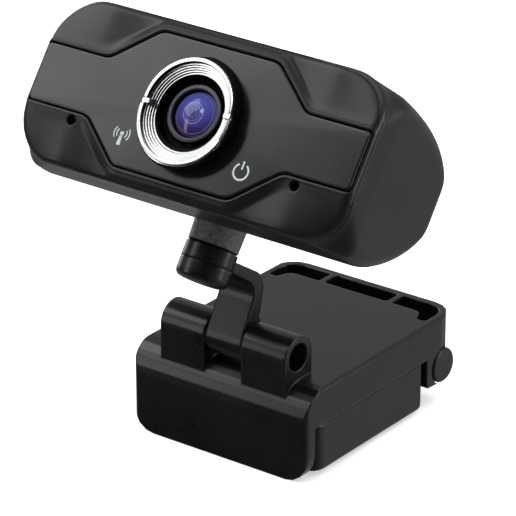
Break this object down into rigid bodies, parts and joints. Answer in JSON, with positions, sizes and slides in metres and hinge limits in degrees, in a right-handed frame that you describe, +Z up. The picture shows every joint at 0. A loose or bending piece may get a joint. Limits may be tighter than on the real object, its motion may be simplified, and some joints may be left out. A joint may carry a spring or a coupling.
{
  "type": "webcam on clip stand",
  "caption": "Webcam with a wide rounded head and ringed lens on a bent arm, on a folding clip stand that rests on a desk or hooks over a screen.",
  "frame": {"origin": "middle of the rubber foot's underside, on the surface the stand rests on", "axes": "+Z up, +Y from the front lip to the rear hinge, +X along the hinges to the right of the lens as seen from the front"},
  "size_m": [0.0853, 0.0783, 0.0991],
  "materials": {
    "satin_black": "satin moulded plastic",
    "stand_black": "fine-textured moulded plastic",
    "gloss_black": "gloss",
    "rubber": "matte",
    "chrome": "polished, finely turned",
    "lens_grey": "anodised",
    "lens_glass": "coated glass",
    "steel": "plain",
    "board_green": "solder mask",
    "chip_black": "moulded",
    "led_white": "clear"
  },
  "bodies": {
    "stand": {"clip_shell": "stand_black", "shell_pad": "rubber", "tilt_screw": "steel", "fold_pin": "steel", "pin_cap_left": "stand_black", "pin_cap_right": "stand_black"},
    "leg": {"leg": "stand_black", "leg_cover": "stand_black", "leg_pad": "rubber", "foot_pad": "rubber", "leg_screw_1": "steel", "leg_screw_2": "steel", "leg_screw_3": "steel", "leg_screw_4": "steel"},
    "arm": {"arm_bracket": "stand_black", "swivel_cap": "stand_black", "swivel_screw": "steel", "swivel_nut": "steel", "friction_washer": "steel"},
    "head": {"neck_post": "satin_black", "rear_housing": "satin_black", "cable_gland": "rubber", "front_bezel": "satin_black", "face_plate": "gloss_black", "lens_holder": "chip_black", "ir_filter": "lens_glass", "image_sensor": "chip_black", "main_board": "board_green", "board_screw_1": "steel", "board_screw_2": "steel", "board_screw_3": "steel", "board_screw_4": "steel", "usb_controller": "chip_black", "cable_header": "chip_black", "microphone_left": "steel", "microphone_right": "steel", "link_led": "led_white", "power_led": "led_white"},
    "focus": {"focus_ring": "satin_black", "chrome_ring": "chrome", "lens_barrel": "lens_grey", "front_lens": "lens_glass", "middle_lens": "lens_glass", "rear_lens": "lens_glass"}
  },
  "joints": [
    {"name": "arm_tilt", "type": "hinge", "parent": "stand", "child": "arm", "pos_m": [0, -0.0196, 0.0264], "axis": [1, 0, 0], "range_deg": [-40, 60]},
    {"name": "head_pan", "type": "hinge", "parent": "arm", "child": "head", "pos_m": [0, -0.02455, 0.0546], "axis": [0, 0.5764, 0.8171], "range_deg": [-170, 170]},
    {"name": "focus_turn", "type": "hinge", "parent": "head", "child": "focus", "pos_m": [0.0012, -0.03464, 0.08362], "axis": [0.0478, -0.799, 0.5995], "range_deg": [-120, 120]},
    {"name": "leg_fold", "type": "hinge", "parent": "stand", "child": "leg", "pos_m": [0, 0.0264, 0.0088], "axis": [1, 0, 0], "range_deg": [0, 150]}
  ]
}
